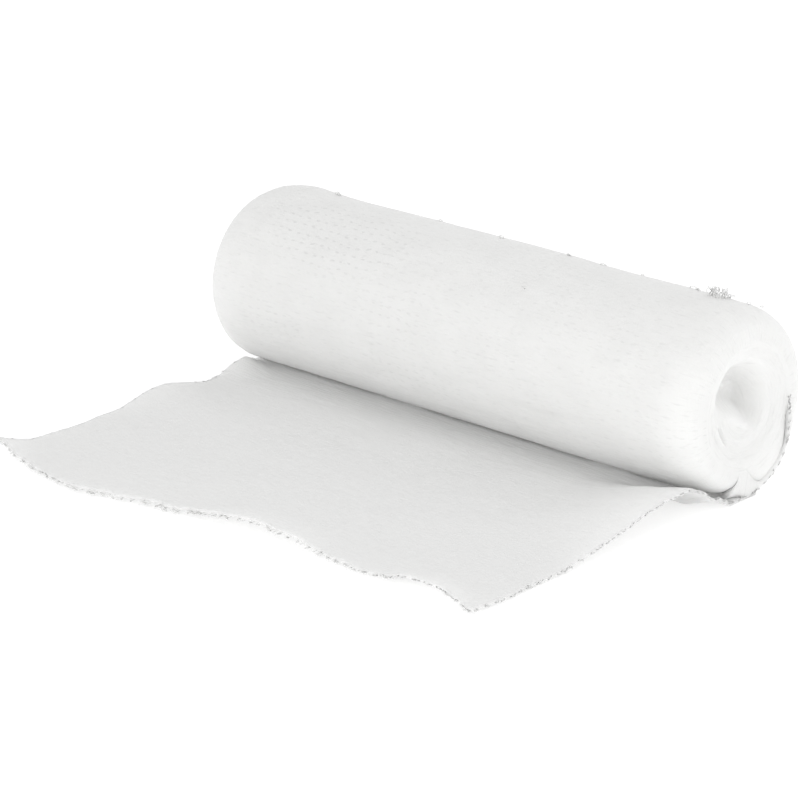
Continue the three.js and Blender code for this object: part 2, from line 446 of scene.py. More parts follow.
def linear(colour):
    """An sRGB hex colour as linear red, green, blue and alpha."""
    parts = [int(colour[i : i + 2], 16) / 255 for i in (1, 3, 5)]
    return [c / 12.92 if c <= 0.04045 else ((c + 0.055) / 1.055) ** 2.4 for c in parts] + [1.0]


def node(tree, kind, links, **settings):
    """Adds a shader node with its settings, and a value or link for each named input."""
    made = tree.nodes.new("ShaderNode" + kind)
    for key, value in settings.items():
        setattr(made, key, value)
    for key, value in links.items():
        if isinstance(value, bpy.types.NodeSocket):
            tree.links.new(value, made.inputs[key])
        else:
            made.inputs[key].default_value = value
    return made.outputs


def uneven(tree, place, across, along, detail, shift=(0, 0)):
    """Noise over the strip, from its lumps' sizes across and along in mm."""
    scale = (1 / (across * MM), 1 / (along * MM), 1)
    links = {"Vector": place, "Location": (*shift, 0), "Scale": scale}
    spread = node(tree, "Mapping", links)[0]
    return node(tree, "TexNoise", {"Vector": spread, "Scale": 1, "Detail": detail})


def gap_rows(tree, place, sizes):
    """Rows of small gaps in the weave, and the places of the yarns between them.

    Their slow wander keeps the rows from lining up too well.
    """
    axes = node(tree, "SeparateXYZ", {0: place})
    wander = uneven(tree, place, 3.846, 3.846, detail=1)[1]
    wander = node(tree, "SeparateXYZ", {0: wander})
    counts, parts = [], []
    # stray is how far the rows wander, and share how wide a gap is, both in spacings
    for axis, spacing, stray, share in (
        (0, sizes.gap_across, 0.8, 0.28),
        (1, sizes.gap_along, 1.1, 0.13),
    ):
        count = node(tree, "Math", {0: axes[axis], 1: spacing}, operation="DIVIDE")[0]
        links = {0: wander[axis], 1: stray, 2: count}
        count = node(tree, "Math", links, operation="MULTIPLY_ADD")[0]
        off = node(tree, "Math", {0: count}, operation="FRACT")[0]
        off = node(tree, "Math", {0: off, 1: 0.5}, operation="SUBTRACT")[0]
        off = node(tree, "Math", {0: off, 1: share}, operation="DIVIDE")[0]
        parts.append(node(tree, "Math", {0: off, 1: off}, operation="MULTIPLY")[0])
        counts.append(count)
    away = node(tree, "Math", {0: parts[0], 1: parts[1]}, operation="ADD")[0]
    links = {"Value": away, 1: 1.0, 2: 0.1}
    gaps = node(tree, "MapRange", links, interpolation_type="SMOOTHSTEP")[0]
    # four yarns from one gap to the next
    turned = {0: counts[0], 1: 4 * math.tau}
    yarns = node(tree, "Math", turned, operation="MULTIPLY")[0]
    return gaps, node(tree, "Math", {0: yarns}, operation="SINE")[0]


def open_patches(tree, place):
    """Where the gaps show, sunk and painted with shade: in patches, and most in one near the
    roll's left end.
    """
    patch = uneven(tree, place, 17.24, 12.5, detail=2)[0]
    patch = node(tree, "MapRange", {"Value": patch, 1: 0.50, 2: 0.72, 3: 0.08, 4: 0.7})[0]
    # the clearest lies 26 mm left of the middle and 61 mm round, and is 19 mm by 10 mm
    links = {"Vector": place, "Location": (26 / 19, 61 / 10, 0)}
    links["Scale"] = (1 / (19 * MM), 1 / (10 * MM), 1)
    clear = node(tree, "Mapping", links)[0]
    clear = node(tree, "VectorMath", {0: clear}, operation="LENGTH")["Value"]
    links = {"Value": clear, 1: 1.15, 2: 0.5, 4: 0.85}
    clear = node(tree, "MapRange", links, interpolation_type="SMOOTHSTEP")[0]
    return node(tree, "Math", {0: patch, 1: clear}, operation="MAXIMUM")[0]


def gauze(tree, sizes, colours, cloth):
    """Crepe gauze of cotton and crimped synthetic yarn, woven loose and left to shrink.

    The weave gives rows of small gaps and fine ridges that run across the strip, and the gaps are
    painted with shade, as hollows that fall dark. Its yarn is finer than the render shows, so the
    ridges are drawn as coarse as a few yarns.
    """
    place = node(tree, "UVMap", {}, uv_map="strip")[0]
    ridges = uneven(tree, place, 3.2, sizes.ridge_spacing / MM, detail=2)[0]

    # short dashes where a few yarns part, painted with shade like the gaps
    dashes = uneven(tree, place, 1.5, 0.42, detail=0)[0]
    dashes = node(tree, "MapRange", {"Value": dashes, 1: 0.64, 2: 0.84, 4: 0.5})[0]
    gaps, yarns = gap_rows(tree, place, sizes)
    links = {0: gaps, 1: open_patches(tree, place)}
    gaps = node(tree, "Math", links, operation="MULTIPLY")[0]
    gaps = node(tree, "Math", {0: gaps, 1: dashes}, operation="MAXIMUM")[0]

    # slow mottling, where the cloth is thinner and the turn beneath shows through
    thin = uneven(tree, place, 6.667, 4.762, detail=2, shift=(3, 5))[0]
    thin = node(tree, "MapRange", {"Value": thin, 1: 0.42, 2: 0.62, 4: 0.16})[0]
    # the gaps and dashes are painted shade; the mottling is a darker tone of the cloth
    shaded = node(tree, "Math", {0: gaps, 1: thin}, operation="ADD", use_clamp=True)[0]

    # the ridges stand highest, the yarns hardly at all, and the gaps lie deep
    links = {0: yarns, 1: 0.05, 2: ridges}
    height = node(tree, "Math", links, operation="MULTIPLY_ADD")[0]
    links = {0: gaps, 1: -0.3, 2: height}
    height = node(tree, "Math", links, operation="MULTIPLY_ADD")[0]
    cotton(tree, shaded, (cloth, colours.gap_shade), height, (0.7, sizes.bump_depth), sizes)


def crepe_gauze(tree, sizes, colours):
    """White crepe gauze in many turns: milky and soft, because light goes deep into the yarn."""
    gauze(tree, sizes, colours, colours.cloth)


def shaded_single_gauze(tree, sizes, colours):
    """One layer of the same gauze, darker partly because one layer sends back less light than
    the many on the roll, and partly as painted shade for the dimmer light on the loose end.
    """
    gauze(tree, sizes, colours, colours.shaded_single_cloth)


def turn_edges(tree, sizes, colours):
    """The woven edges of the same gauze, wound tight one on the next.

    The edges of single turns show as fine lines of painted shade round the end, for the
    valleys between them, fuzzy from the loops of yarn.
    """
    place = node(tree, "TexCoord", {})["Object"]
    axes = node(tree, "SeparateXYZ", {0: place})
    links = {0: axes[2], 1: Strip(sizes).axis_height * MM}
    up = node(tree, "Math", links, operation="SUBTRACT")[0]
    flat = node(tree, "CombineXYZ", {0: axes[1], 1: up})[0]
    radius = node(tree, "VectorMath", {0: flat}, operation="LENGTH")["Value"]

    # lines a fraction of a turn apart, which follow the radius and change slowly round it
    links = {0: radius, 1: 1 / (0.42 * MM)}
    lines = node(tree, "Math", links, operation="MULTIPLY")[0]
    links = {0: flat, "Scale": 1 / (3.0 * MM)}
    slow = node(tree, "VectorMath", links, operation="SCALE")[0]
    slow = node(tree, "SeparateXYZ", {0: slow})
    spread = node(tree, "CombineXYZ", {0: lines, 1: slow[0], 2: slow[1]})[0]
    lines = node(tree, "TexNoise", {"Vector": spread, "Scale": 1, "Detail": 2})[0]
    # painted shade along the lines, standing for the valleys between turns
    painted_valley_shade = node(tree, "MapRange", {"Value": lines, 1: 0.45, 2: 0.2, 4: 0.6})[0]

    # loops of yarn, one lump to each, half as high as the lines
    links = {"Vector": flat, "Scale": 1 / (0.55 * MM), "Detail": 1}
    loops = node(tree, "TexNoise", links)[0]
    links = {0: loops, 1: 0.5, 2: lines}
    height = node(tree, "Math", links, operation="MULTIPLY_ADD")[0]
    shades = (colours.cloth, colours.gap_shade)
    cotton(tree, painted_valley_shade, shades, height, (0.6, sizes.bump_depth), sizes)


def cotton_yarn(tree, sizes, colours):
    """Soft twisted yarn of the same white, for loops and loose threads: fuzzy and matt."""
    place = node(tree, "TexCoord", {})["Object"]
    links = {"Vector": place, "Scale": 1 / (0.25 * MM), "Detail": 1}
    twist = node(tree, "TexNoise", links)[0]
    cotton(tree, twist, (colours.cloth, colours.yarn_shade), twist, (0.5, 0.08 * MM), sizes)


def cotton(tree, shaded, shades, height, relief, sizes):
    """Matt cotton with a faint bloom of loose fibres, which lets light a little way in.

    Its colour goes from the first of its shades to the second, a painted shade, where it is
    shaded. Relief is how strongly its height shows, and how high it is.
    """
    links = {0: shaded, 6: shades[0], 7: shades[1]}
    colour = node(tree, "Mix", links, data_type="RGBA")[2]
    links = {"Height": height, "Strength": relief[0], "Distance": relief[1]}
    bump = node(tree, "Bump", links)[0]
    links = {
        "Base Color": colour,
        "Normal": bump,
        "Roughness": 0.9,
        "IOR": 1.45,
        "Specular IOR Level": 0.15,
        "Subsurface Weight": 0.75,
        "Subsurface Radius": (1.0, 1.0, 1.0),
        "Subsurface Scale": sizes.light_depth,
        "Sheen Weight": 0.1,
        "Sheen Roughness": 0.6,
    }
    shader = node(tree, "BsdfPrincipled", links)[0]
    node(tree, "OutputMaterial", {"Surface": shader})


def light_table(tree, sizes, colours):
    """White acrylic of a light table, lit a little from beneath, which keeps shadows faint."""
    links = {
        "Base Color": colours.floor,
        "Roughness": 0.9,
        "Specular IOR Level": 0.1,
        "Emission Color": (1, 1, 1, 1),
        "Emission Strength": TABLE_LIGHT,
    }
    shader = node(tree, "BsdfPrincipled", links)[0]
    node(tree, "OutputMaterial", {"Surface": shader})


MATERIALS = {
    "white_crepe_gauze": crepe_gauze,
    "white_crepe_gauze_single_shaded": shaded_single_gauze,
    "white_gauze_turn_edges": turn_edges,
    "white_twisted_yarn": cotton_yarn,
    "white_light_table": light_table,
}


def material_of(name):
    """One of the materials, made the first time it is asked for."""
    made = bpy.data.materials.get(name)
    if made is None:
        scene = bpy.context.scene
        made = bpy.data.materials.new(name)
        made.use_nodes = True
        made.node_tree.nodes.clear()
        MATERIALS[name](made.node_tree, scene.bandage_sizes, scene.bandage_colours)
    return made


# Settings


def metres(name, description, default):
    return bpy.props.FloatProperty(
        name=name, description=description, default=default, unit="LENGTH", precision=5, min=0
    )


def tint(name, description, default):
    return bpy.props.FloatVectorProperty(
        name=name, description=description, default=linear(default), subtype="COLOR", size=4,
        min=0, max=1,
    )


class BandageSizes(bpy.types.PropertyGroup):
    strip_width: metres("Strip width", "Width of the strip", 0.100)
    roll_height: metres("Roll height", "Height of the roll off the floor", 0.0307)
    loose_length: metres("Loose length", "From the roll's axis to the cut", 0.0615)
    cloth_thickness: metres("Cloth thickness", "Thickness of the cloth", 0.0005)
    turn_drop: metres("Turn drop", "How far the outer turn drops in one turn", 0.0013)
    turn_pitch: metres("Turn pitch", "Between the turns that show on an end", 0.00078)
    flat_spot: metres("Flat spot", "Width of the flat under the roll", 0.006)
    crepe_height: metres("Crepe height", "Height of the cloth's ridges", 0.00006)
    ridge_spacing: metres("Ridge spacing", "Between the finest ridges", 0.0005)
    bump_depth: metres("Bump depth", "Height of the finest ridges", 0.0002)
    light_depth: metres("Light depth", "How far light goes into the cloth", 0.005)
    gap_across: metres("Gap spacing across", "Between gaps across the strip", 0.0019)
    gap_along: metres("Gap spacing along", "Between gaps along the strip", 0.0017)
    loop_size: metres("Loop size", "Radius of an edge loop of yarn", 0.00027)
    yarn: metres("Yarn", "Radius of the yarn in loops and thread ends", 0.0001)
    fibre: metres("Fibre", "Radius of the thinnest loose threads", 0.00004)


class BandageColours(bpy.types.PropertyGroup):
    cloth: tint("Cloth", "Colour of the cloth", "#EDEDEC")
    # one layer of cloth, darker partly as painted shade for the dimmer light on the loose end
    shaded_single_cloth: tint("Shaded single cloth", "Colour of one layer of cloth", "#E0E0DF")
    # painted shade for the gaps of the weave and the lines between turns, and the mottling's
    # darker tone
    gap_shade: tint("Gap shade", "Colour in the small gaps of the weave", "#E0E0DF")
    yarn_shade: tint("Yarn shade", "Colour between the yarn's twists", "#D8D8D7")
    floor: tint("Floor", "Colour of the light table", "#ECECEC")


# The pieces

# How many points the roll's mesh has round it, and rows along its barrel, on each rim, from each
# rim to the flat of the end and from there to the axis
AROUND = 292
BARREL_ROWS = 144
RIM_ROWS = 28
MERGED_ROWS = 15
FACE_ROWS = 48
# How far in from the flat of an end's border the outermost turn's edge is taken up, in mm, and
# from which share of that way the turns beneath an open edge are those of the snug end
MERGED = 1.5
SNUG_FROM = 0.6
# The turn's edge, as shares of its thickness out of the edge and in from its outer side
EDGE_FOLD = ((0.20, 0.15), (0.27, 0.55), (0.16, 1.10))
# How deep inside the roll the step is closed, as a share of its height and at most, in mm
SUNK_SHARE = 0.2
SUNK = 1.6
# Slow waves of the hollow's border, as height in shares of its size, count round it and shift
HOLLOW_WAVES = ((0.05, 2, 0.8), (0.03, 3, 2.0))
# Where the strip's inner end stops filling the hollow, as shares of its length and width
INNER_BORDER = (0.55, 1.15)
# Raised bundles of turns on an end, in a spiral, in mm and turns, and where they start from the
# axis and stop before the flat's border
BUNDLE = dict(pitch=3.4, height=0.13, shift=0.58, start=(2, 5), stop=1)
# How deep an end is dished, and over which way in from its flat's border, in mm
DISH = dict(depth=0.4, over=4)
# Valleys between the edges of single turns on an end, in mm, and where the edges start from the
# axis
VALLEY = dict(depth=0.07, sharpness=4)
TURNS_START = (0.4, 2.2)
# The flat spot and a little of the barrel beside it, where the cloth is pressed smooth
PRESSED = 0.06


def strip_places(strip, points, turn):
    """Where points of the outermost turn lie across and along the strip."""
    steps = np.linalg.norm(np.diff(points, axis=0), axis=-1).mean(axis=1)
    across = np.concatenate([[0], np.cumsum(steps)])
    across = across - across[-1] / 2
    along = -turn * math.tau * strip.radius
    return np.stack(np.meshgrid(across, along, indexing="ij"), -1)


def face_depth(strip, name, radius, angle):
    """How far the turns' edges lie inside an end, at places on its face."""
    back, up = radius * np.sin(angle), -radius * np.cos(angle)
    hollow, inner = HOLLOWS[name], INNER_ENDS[name]
    waves = (height * np.sin(count * angle + shift) for height, count, shift in HOLLOW_WAVES)
    away = np.hypot(back - hollow["back"], up - hollow["up"]) / sum(waves, start=1)
    sunk = rise(hollow["mouth"] - away, 0, hollow["mouth"] - hollow["foot"])
    turn = math.radians(inner["turn"])
    along = (back - inner["back"]) * math.cos(turn) + (up - inner["up"]) * math.sin(turn)
    beside = (up - inner["up"]) * math.cos(turn) - (back - inner["back"]) * math.sin(turn)
    filled = 1 - rise(np.hypot(along / inner["length"], beside / inner["width"]), *INNER_BORDER)
    dished = rise(strip.face_radius - radius, 0, DISH["over"])
    depth = RIM["depth"][-1] + DISH["depth"] * dished
    depth = depth + (hollow["deep"] + hollow["slope"] * back) * sunk * (1 - inner["fill"] * filled)
    if name == "right":
        depth = depth - folds(FACE_FOLDS, back, up)
    turns = (strip.face_radius - radius) / BUNDLE["pitch"] - angle / math.tau + BUNDLE["shift"]
    bundle = 0.5 - 0.5 * np.cos(turns * math.tau)
    stop = rise(radius, strip.face_radius - BUNDLE["stop"], strip.face_radius)
    return depth + BUNDLE["height"] * bundle * rise(radius, *BUNDLE["start"]) * (1 - stop)


def face_points(strip, name, radius, angle):
    """Points on the flat of an end, out from the axis and round it."""
    end = ENDS[name]
    depth = face_depth(strip, name, radius, angle)
    return strip.at(end["side"] * (end["reach"] - depth), radius, angle)


def turn_relief(strip, radius, angle):
    """The rounded edges of single turns on an end, some proud of their neighbours."""
    turns = (strip.radius - radius) / strip.turn_pitch - angle / math.tau
    along = np.floor(turns) + angle / math.tau
    valley = (0.5 + 0.5 * np.cos(turns * math.tau)) ** VALLEY["sharpness"]
    proud = layered(TURN_PROUD, along, along) * (1 - valley)
    deep = VALLEY["depth"] * valley * (0.5 + layered(TURN_CLEAR, along, along))
    lumps = layered(FACE_LUMPS, radius * np.sin(angle), -radius * np.cos(angle))
    return (proud - deep) * rise(radius, *TURNS_START) + lumps


def end_rows(strip, name, edge, beside, normals, angle, turn):
    """The rows from the outermost turn's side edge to the middle of an end.

    Where the edge stands open they fold round it, go down its inner side and up over the turns
    beneath. Elsewhere the edge lies snug and they go straight on over the end.
    """
    end = ENDS[name]
    around, turns = angle[None, :], turn[None, :]
    is_open = strip.openness(angle) * rise(turn, *LIP["groove_after_step"]) * (end["side"] > 0)
    is_open = is_open[None, :, None]
    count = MERGED_ROWS + len(EDGE_FOLD)
    border = strip.face_radius - MERGED
    radii = np.linspace(strip.face_radius, border, count + 1)[1:, None]
    snug = face_points(strip, name, radii, around)
    out = edge - beside
    out = out / np.linalg.norm(out, axis=-1, keepdims=True) * strip.thickness
    folded = [edge + out * away - normals * (deep * strip.thickness) for away, deep in EDGE_FOLD]
    rows = np.linspace(0, len(GROOVE["inset"]) - 1, MERGED_ROWS)[:, None]
    inset, depth, follow = (read_rows(values, rows) for values in GROOVE.values())
    beneath = strip.on_end(end, inset, depth, np.clip(follow, 0, 1), around, turns)
    ahead = rise(np.linspace(0, 1, MERGED_ROWS), SNUG_FROM, 1)[:, None, None]
    beneath = lerp(beneath, snug[len(EDGE_FOLD) :], ahead)
    rim = lerp(snug, np.concatenate([folded, beneath]), is_open)
    radii = np.linspace(border, 0, FACE_ROWS + 1)[1:, None]
    points = np.concatenate([rim, face_points(strip, name, radii, around)])
    outwards = outward_normals(points)
    outwards *= np.sign(np.mean(outwards[..., 0])) * end["side"]
    radial = np.hypot(points[..., 1], points[..., 2] - strip.axis_height)
    fade = rise(np.arange(len(points)), 0, count)[:, None]
    relief = turn_relief(strip, radial, around) * fade
    points = points + outwards * relief[..., None]
    points[count:, -1] = points[count:, 0]
    points[-1] = points[-1].mean(axis=0)
    return points


def close_step(strip, points):
    """Adds three columns, which close the step where the turn ends, a little inside the roll."""
    step = np.linalg.norm(points[:, -1:] - points[:, :1], axis=-1, keepdims=True)
    sink = np.minimum(step * SUNK_SHARE, SUNK)
    sunk = points[:, [-1, 0]].copy()
    away = sunk[..., 1:] - (0, strip.axis_height)
    radius = np.linalg.norm(away, axis=-1, keepdims=True)
    sunk[..., 1:] -= away * np.minimum(sink / np.maximum(radius, 1e-6), 1)
    sunk[..., :1] *= 1 - sink / strip.half_width
    return np.concatenate([points, sunk, points[:, :1]], axis=1)


class BANDAGE_OT_wound_turns(bpy.types.Operator):
    """Make the wound roll: its outermost turn, and the turns' edges on its two ends"""

    bl_idname = "bandage.wound_turns"
    bl_label = "Wound turns"

    def execute(self, context):
        strip = Strip(context.scene.bandage_sizes)
        turn = np.linspace(0, 1, AROUND)
        angle = strip.start + turn * math.tau
        left, right = ENDS["left"], ENDS["right"]
        rows = np.linspace(len(RIM["inset"]) - 1, 0, RIM_ROWS)[:, None]
        starts = [
            end["side"] * (end["reach"] - RIM["depth"][0] * max(end["over"], end["under"]))
            for end in (left, right)
        ]
        places = np.linspace(*starts, BARREL_ROWS + 2)[1:-1, None]
        around, turns = angle[None, :], turn[None, :]
        points = np.concatenate(
            [
                strip.rim(left, rows, around, turns),
                strip.barrel(places, around, turns),
                strip.rim(right, rows[::-1], around, turns),
            ]
        )
        face = points[-RIM_ROWS:]
        face[..., 0] += folds(FACE_FOLDS, face[..., 1], face[..., 2] - strip.axis_height)
        strip_map = strip_places(strip, points, turn)
        normals = outward_normals(points)
        relief = strip.relief(strip_map[..., 0], strip_map[..., 1])
        fade = rise((1 - np.cos(around)) / 2, 0.0, PRESSED) * np.ones((len(points), 1))
        calm = np.linspace(0, 1, RIM_ROWS)[:, None]
        fade[:RIM_ROWS] *= calm
        fade[-RIM_ROWS:] *= calm[::-1]
        points = points + normals * (relief * fade)[..., None]
        points[..., 2] = np.maximum(points[..., 2], 0)
        ends = (
            end_rows(strip, "left", points[0], points[1], normals[0], angle, turn)[::-1],
            end_rows(strip, "right", points[-1], points[-2], normals[-1], angle, turn),
        )
        points = np.concatenate([ends[0], points, ends[1]])
        points[..., 2] = np.maximum(points[..., 2], 0)
        more = len(ends[0])
        closing = 3
        strip_map = np.pad(strip_map, ((more, more), (0, closing), (0, 0)), mode="edge")
        materials = np.ones(len(points), int)
        materials[more:-more] = 0
        mesh = grid_mesh("wound_turns", close_step(strip, points), strip_map, materials)
        cloth, edges = material_of("white_crepe_gauze"), material_of("white_gauze_turn_edges")
        piece = finish_piece("wound_turns", mesh, cloth, edges)
        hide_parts("wound_roll")
        return {"FINISHED"}


LOOSE_COLUMNS = 250
LOOSE_ROWS = 150
# How high the loose cloth stands off the floor in mm, and where that starts and is full, from
# the roll's axis. How much higher its cut edge curls up, and from which share of its length.
# Its lumps add to both. Clearance from the floor is in heights of the crepe.
RAISED = 0.30
RAISED_FROM = (5, 14)
CURL = 0.25
CURL_FROM = 0.96
CLEARANCE = 2.2


class BANDAGE_OT_loose_end(bpy.types.Operator):
    """Make the loose end, laid out on the floor in front of the roll"""

    bl_idname = "bandage.loose_end"
    bl_label = "Loose end"

    def execute(self, context):
        strip = Strip(context.scene.bandage_sizes)
        across = np.linspace(-1, 1, LOOSE_COLUMNS)[None, :]
        along = np.linspace(0, 1, LOOSE_ROWS)[:, None]
        points = strip.loose(across, along)
        u, v = points[..., 0], -points[..., 1]
        raised = (RAISED + layered(RAISED_LUMPS, u, v)) * rise(v, *RAISED_FROM)
        curled = (CURL + layered(CURL_LUMPS, u, v)) * rise(along, CURL_FROM, 1)
        points[..., 2] += strip.thickness / 2 + CLEARANCE * strip.crepe
        points[..., 2] += raised + strip.relief(u, v) + curled
        strip_map = np.stack([u, v], -1)
        mesh = grid_mesh("loose_cloth", points, strip_map)
        # the loose end takes the darker single gauze, whose darkness is partly painted shade
        piece = finish_piece("loose_cloth", mesh, material_of("white_crepe_gauze_single_shaded"))
        solid = piece.modifiers.new("cloth thickness", "SOLIDIFY")
        solid.thickness = context.scene.bandage_sizes.cloth_thickness
        solid.offset = 0
        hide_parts("loose_end")
        return {"FINISHED"}


# Loops and threads

# A loop of yarn: sides and steps of its mesh, its size and its yarn's as shares of the usual,
# how it leans and rolls in radians, and how it is stretched outwards and along the edge
LOOP = dict(
    sides=5, steps=7, size=(0.6, 1.3), yarn=(0.9, 1.3), lean=0.5, roll=0.6, out=(0.6, 1.1),
    along=(1.0, 1.8),
)
# Spacings of loops in mm: along the right and left side edges, and the cut edge. Those on the
# end are in degrees, from the first to the last after the step.
LOOPS = dict(right=1.35, left=1.9, cut=1.5, end=4.8, end_first=22, end_last=100)
# The shortest and longest gap between uneven places, as shares of their spacing
UNEVEN = (0.45, 1.6)
# A short way along an edge, in shares of its length or in radians, which shows where it runs
NEARBY = 0.01


def add_loop(bm, place, outwards, beside, size, yarn, random):
    """A loop of yarn that stands out of an edge, which runs beside it."""
    made = bmesh.ops.create_circle(bm, segments=LOOP["sides"], radius=yarn)["verts"]
    across = Matrix.Rotation(math.pi / 2, 3, "X")
    bmesh.ops.rotate(bm, verts=made, cent=(0, 0, 0), matrix=across)
    bmesh.ops.translate(bm, verts=made, vec=(size, 0, 0))
    edges = list(dict.fromkeys(edge for vert in made for edge in vert.link_edges))
    full = dict(cent=(0, 0, 0), axis=(0, 0, 1), angle=math.tau, use_merge=True)
    bmesh.ops.spin(bm, geom=made + edges, steps=LOOP["steps"], **full)
    out = outwards.normalized()
    side = (beside - out * beside.dot(out)).normalized()
    turn = Matrix((out, side, out.cross(side))).transposed().to_4x4()
    lean = Matrix.Rotation(random.uniform(-LOOP["lean"], LOOP["lean"]), 4, "Y")
    roll = Matrix.Rotation(random.uniform(-LOOP["roll"], LOOP["roll"]), 4, "X")
    stretch = (random.uniform(*LOOP["out"]), random.uniform(*LOOP["along"]), 1, 1)
    matrix = Matrix.Translation(place) @ turn @ lean @ roll @ Matrix.Diagonal(stretch)
    bmesh.ops.transform(bm, verts=bm.verts, matrix=matrix)


def loops_piece(name, places, sizes, seed):
    """One piece of many loops, each with its place, its direction outwards and its edge's."""
    random = np.random.RandomState(seed)
    mesh = bpy.data.meshes.new(name)
    whole = bmesh.new()
    for place, outwards, beside in places:
        size = sizes.loop_size * random.uniform(*LOOP["size"])
        yarn = sizes.yarn * random.uniform(*LOOP["yarn"])
        bm = bmesh.new()
        add_loop(bm, Vector(place) * MM, Vector(outwards), Vector(beside), size, yarn, random)
        bm.to_mesh(mesh)
        bm.free()
        whole.from_mesh(mesh)
    bmesh.ops.recalc_face_normals(whole, faces=whole.faces)
    for vert in whole.verts:
        vert.co.z = max(vert.co.z, 0.0)
    whole.to_mesh(mesh)
    whole.free()
    return finish_piece(name, mesh, material_of("white_twisted_yarn"))


def threads_piece(name, lines, radius):
    """One piece of many thin threads, each a line of points in mm."""
    curve = bpy.data.curves.new(name, "CURVE")
    curve.dimensions = "3D"
    curve.bevel_depth = radius
    curve.bevel_resolution = 1
    curve.resolution_u = 3
    curve.use_fill_caps = True
    for line in lines:
        spline = curve.splines.new("NURBS")
        spline.points.add(len(line) - 1)
        for point, place in zip(spline.points, line):
            point.co = (*(np.asarray(place) * MM), 1)
        spline.use_endpoint_u = True
        spline.order_u = 4
    holder = bpy.data.objects.new(name, curve)
    bpy.context.scene.collection.objects.link(holder)
    made = holder.evaluated_get(bpy.context.evaluated_depsgraph_get())
    mesh = bpy.data.meshes.new_from_object(made)
    bpy.data.objects.remove(holder)
    bpy.data.curves.remove(curve)
    mesh.materials.clear()
    join_up(mesh, 1e-8)
    mesh.name = name
    return finish_piece(name, mesh, material_of("white_twisted_yarn"))


def uneven_places(length, spacing, random):
    """Places along a length, unevenly about a spacing apart."""
    place, places = spacing * random.rand(), []
    while place < length:
        places.append(place)
        place += spacing * random.uniform(*UNEVEN)
    return places


def edge_of_loose(strip, across, along):
    """A point on the middle of the loose end's thickness."""
    point = strip.loose(np.array([across], float), np.array([along], float))[0]
    return point + (0, 0, strip.thickness / 2 + RAISED)


class BANDAGE_OT_edge_loops(bpy.types.Operator):
    """Make the small loops of yarn along the strip's woven edges and its cut edge"""

    bl_idname = "bandage.edge_loops"
    bl_label = "Edge loops"

    def execute(self, context):
        sizes = context.scene.bandage_sizes
        strip = Strip(sizes)
        random = np.random.RandomState(5)
        places = []
        before_cut = 4
        length = strip.loose_length - before_cut
        for side, spacing in ((1, LOOPS["right"]), (-1, LOOPS["left"])):
            for at in uneven_places(length, spacing, random):
                edge = edge_of_loose(strip, side, at / length)
                ahead = edge_of_loose(strip, side, at / length + NEARBY)
                places.append((edge, (side, 0, 0), ahead - edge))
        before_corner = 0.5
        for at in uneven_places(2 * strip.half_width - before_corner, LOOPS["cut"], random):
            across = at / strip.half_width - 1
            edge = edge_of_loose(strip, across, 1)
            ahead = edge_of_loose(strip, across + NEARBY, 1)
            places.append((edge, (0, -1, 0), ahead - edge))
        last = float(len(RIM["inset"]) - 1)
        for at in uneven_places(LOOPS["end_last"], LOOPS["end"], random):
            if at < LOOPS["end_first"]:
                continue
            # the edge itself, a place half a row outside it and one a little further round
            angle = strip.start + math.radians(at) + np.array([0, 0, 2 * NEARBY])
            row = np.array([last, last - 0.5, last])
            points = strip.rim(ENDS["right"], row, angle, np.full(3, at / 360))
            sunk = 0.4 * strip.thickness / strip.radius
            points[:, 1:] = lerp(points[:, 1:], np.array([0, strip.axis_height]), sunk)
            places.append((points[0], points[0] - points[1], points[2] - points[0]))
        loops_piece("edge_loops", places, sizes, seed=6)
        return {"FINISHED"}


# Thread ends at the cut edge, in mm: their spacing, their length, how far their ends go aside and
# up as shares of it, and how far back along the loose end they start
THREAD_ENDS = dict(
    spacing=1.9, length=(0.25, 0.9), aside=(-0.8, 0.8), up=(-0.15, 0.225), root=0.985
)


class BANDAGE_OT_thread_ends(bpy.types.Operator):
    """Make the short ends of yarn at the cut edge"""

    bl_idname = "bandage.thread_ends"
    bl_label = "Thread ends"

    def execute(self, context):
        sizes = context.scene.bandage_sizes
        strip = Strip(sizes)
        random = np.random.RandomState(8)
        lines = []
        for at in uneven_places(2 * strip.half_width, THREAD_ENDS["spacing"], random):
            across = at / strip.half_width - 1
            edge = edge_of_loose(strip, across, 1)
            length = random.uniform(*THREAD_ENDS["length"])
            aside, up = random.uniform(*THREAD_ENDS["aside"]), random.uniform(*THREAD_ENDS["up"])
            line = [edge_of_loose(strip, across, THREAD_ENDS["root"]), edge]
            for share in (0.4, 0.75, 1.0):
                bend = np.array([aside * share * share, -share, up * share * share])
                line.append(edge + bend * length)
            for point in line:
                point[2] = max(point[2], sizes.yarn / MM)
            lines.append(line)
        threads_piece("thread_ends", lines, sizes.yarn * 0.7)
        return {"FINISHED"}


# Small knots of yarn on the barrel, as places along the roll and degrees round it
KNOTS = table(
    "x round",
    (-38.6, 164), (-38.0, 165), (10.8, 162), (11.3, 163), (25.9, 162), (35.7, 161), (36.8, 162),
    (37.2, 164), (46.3, 160), (48.4, 158), (12.6, 213), (-16.0, 163), (-2.5, 165), (18.0, 162),
)
# The tuft of threads near the right end, in mm, with degrees round the roll: its sides and feet,
# how tall its threads stand at its left and how short at its right, their number and how they
# crowd to the left, their curls, with the radians from point to point, and how they lean
TUFT = dict(
    left=40.3, right=43.2, feet=(160, 171), tall=1.8, short=0.6, grown=(0.55, 1), threads=32,
    crowded=1.3, curl=0.36, curls=(0.5, 1.2), curl_points=6, curl_step=0.95, begin=(-1.5, 0.5),
    lean=(-0.6, 1.2), round=(-2, 2),
)


